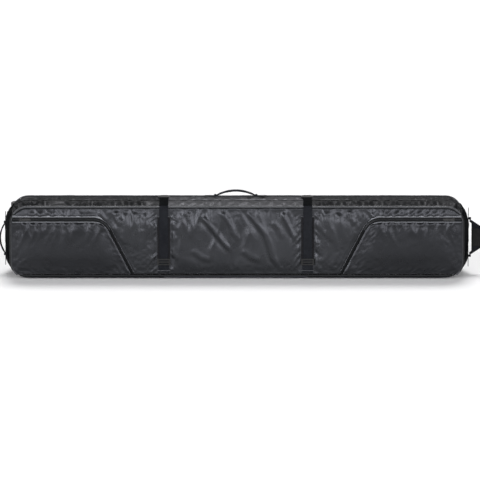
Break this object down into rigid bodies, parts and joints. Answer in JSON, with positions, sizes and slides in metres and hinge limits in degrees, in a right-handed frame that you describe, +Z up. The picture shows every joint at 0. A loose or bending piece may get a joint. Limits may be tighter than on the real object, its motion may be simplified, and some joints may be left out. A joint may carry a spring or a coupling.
{
  "type": "wheeled snowboard travel bag",
  "caption": "Long padded wheeled snowboard and ski travel bag standing on its side, with hinged zip lid, outside pockets, compression straps, webbing handles and inline wheels",
  "frame": {"origin": "on the floor, under the middle of the bag's body, with the bag standing on its long side", "axes": "+X runs along the bag from the wheels to the haul handle, +Y points to the base at the back, away from the lid, and +Z is up"},
  "size_m": [2.0915, 0.296, 0.3465],
  "materials": {
    "coated_fabric": "black coated polyester, semi-gloss, fine plain weave",
    "gusset_fabric": "black coated polyester on the sides, lightly crumpled",
    "lining": "grey padded lining",
    "board": "black polyethylene sheet",
    "moulded_plastic": "black moulded nylon, fine texture",
    "piping": "black bound welting over a cord",
    "zip_tape": "black zip tape with nylon coil",
    "zip_metal": "black painted zip hardware",
    "webbing": "black woven nylon webbing",
    "hardware": "black coated steel ring",
    "hub": "dark grey moulded hub",
    "urethane": "black urethane tyre",
    "steel": "zinc plated steel"
  },
  "bodies": {
    "base": {"base_top_wall": "gusset_fabric", "base_bottom_wall": "gusset_fabric", "base_left_end": "gusset_fabric", "base_right_end": "gusset_fabric", "base_front_welt": "gusset_fabric", "hinge_piping": "piping", "back_panel": "coated_fabric", "base_board": "board", "base_lining": "lining", "back_piping": "piping", "base_runners": "moulded_plastic", "base_zip_tape": "zip_tape", "wheel_housing_lower": "moulded_plastic", "wheel_housing_upper": "moulded_plastic", "wheel_lower_axle": "steel", "wheel_upper_axle": "steel", "top_handle_anchors": "webbing", "end_handle_anchors": "webbing", "haul_handle_anchors": "webbing", "strap_rings": "hardware", "strap_tabs": "webbing", "inner_straps": "webbing", "inner_strap_buckles": "moulded_plastic"},
    "lid": {"lid_top_wall": "gusset_fabric", "lid_left_end": "gusset_fabric", "lid_right_end": "gusset_fabric", "lid_padding": "lining", "lid_face": "coated_fabric", "lid_piping": "piping", "lid_zip_tape": "zip_tape", "pocket_left_panel": "coated_fabric", "pocket_right_panel": "coated_fabric", "pocket_left_zip": "zip_tape", "pocket_right_zip": "zip_tape", "strap_left_webbing": "webbing", "strap_right_webbing": "webbing", "strap_left_backing": "webbing", "strap_right_backing": "webbing", "strap_anchors": "webbing", "strap_locks": "moulded_plastic", "strap_hooks": "moulded_plastic"},
    "top_handle": {"top_handle": "webbing"},
    "end_handle": {"end_handle": "webbing"},
    "haul_handle": {"haul_handle_frame": "webbing", "haul_handle_grip": "webbing"},
    "wheel_lower": {"wheel_lower_tyre": "urethane", "wheel_lower_hub": "hub", "wheel_lower_bearings": "steel"},
    "wheel_upper": {"wheel_upper_tyre": "urethane", "wheel_upper_hub": "hub", "wheel_upper_bearings": "steel"},
    "main_slider_left": {"main_slider_left": "zip_metal"},
    "main_pull_left": {"main_pull_left": "zip_metal"},
    "pocket_left_slider": {"pocket_left_slider": "zip_metal"},
    "pocket_left_pull": {"pocket_left_pull": "zip_metal"},
    "main_slider_right": {"main_slider_right": "zip_metal"},
    "main_pull_right": {"main_pull_right": "zip_metal"},
    "pocket_right_slider": {"pocket_right_slider": "zip_metal"},
    "pocket_right_pull": {"pocket_right_pull": "zip_metal"}
  },
  "joints": [
    {"name": "lid_hinge", "type": "hinge", "parent": "base", "child": "lid", "pos_m": [0, -0.131, 0.014], "axis": [1, 0, 0], "range_deg": [0, 88], "deforming": ["lid_zip_tape"]},
    {"name": "wheel_lower_spin", "type": "hinge", "parent": "base", "child": "wheel_lower", "pos_m": [-0.938, 0.106, 0.038], "axis": [0, 0, 1], "continuous": true},
    {"name": "wheel_upper_spin", "type": "hinge", "parent": "base", "child": "wheel_upper", "pos_m": [-0.938, 0.106, 0.282], "axis": [0, 0, 1], "continuous": true},
    {"name": "top_handle_tilt", "type": "hinge", "parent": "base", "child": "top_handle", "pos_m": [-0.005, 0.104, 0.3245], "axis": [1, 0, 0], "range_deg": [-35, 35]},
    {"name": "end_handle_tilt", "type": "hinge", "parent": "base", "child": "end_handle", "pos_m": [-1.0045, 0.016, 0.152], "axis": [0, 0, 1], "range_deg": [-35, 35]},
    {"name": "haul_handle_swing", "type": "hinge", "parent": "base", "child": "haul_handle", "pos_m": [1.009, 0.016, 0.156], "axis": [0, 0, 1], "range_deg": [-75, 75]},
    {"name": "main_slider_left_slide", "type": "slide", "parent": "base", "child": "main_slider_left", "axis": [-1, 0, 0], "range_m": [0, 0.83]},
    {"name": "main_pull_left_flip", "type": "hinge", "parent": "main_slider_left", "child": "main_pull_left", "pos_m": [-0.026, -0.00495, 0.3193], "axis": [0, 1, 0], "range_deg": [0, 110]},
    {"name": "pocket_left_slider_slide", "type": "slide", "parent": "lid", "child": "pocket_left_slider", "axis": [1, 0, 0], "range_m": [0, 0.29]},
    {"name": "pocket_left_pull_flip", "type": "hinge", "parent": "pocket_left_slider", "child": "pocket_left_pull", "pos_m": [-0.93, -0.1458, 0.2615], "axis": [0, 0, -1], "range_deg": [0, 110]},
    {"name": "main_slider_right_slide", "type": "slide", "parent": "base", "child": "main_slider_right", "axis": [1, 0, 0], "range_m": [0, 0.83]},
    {"name": "main_pull_right_flip", "type": "hinge", "parent": "main_slider_right", "child": "main_pull_right", "pos_m": [0.026, -0.00495, 0.3193], "axis": [0, -1, 0], "range_deg": [0, 110]},
    {"name": "pocket_right_slider_slide", "type": "slide", "parent": "lid", "child": "pocket_right_slider", "axis": [-1, 0, 0], "range_m": [0, 0.29]},
    {"name": "pocket_right_pull_flip", "type": "hinge", "parent": "pocket_right_slider", "child": "pocket_right_pull", "pos_m": [0.93, -0.1458, 0.2615], "axis": [0, 0, 1], "range_deg": [0, 110]}
  ]
}
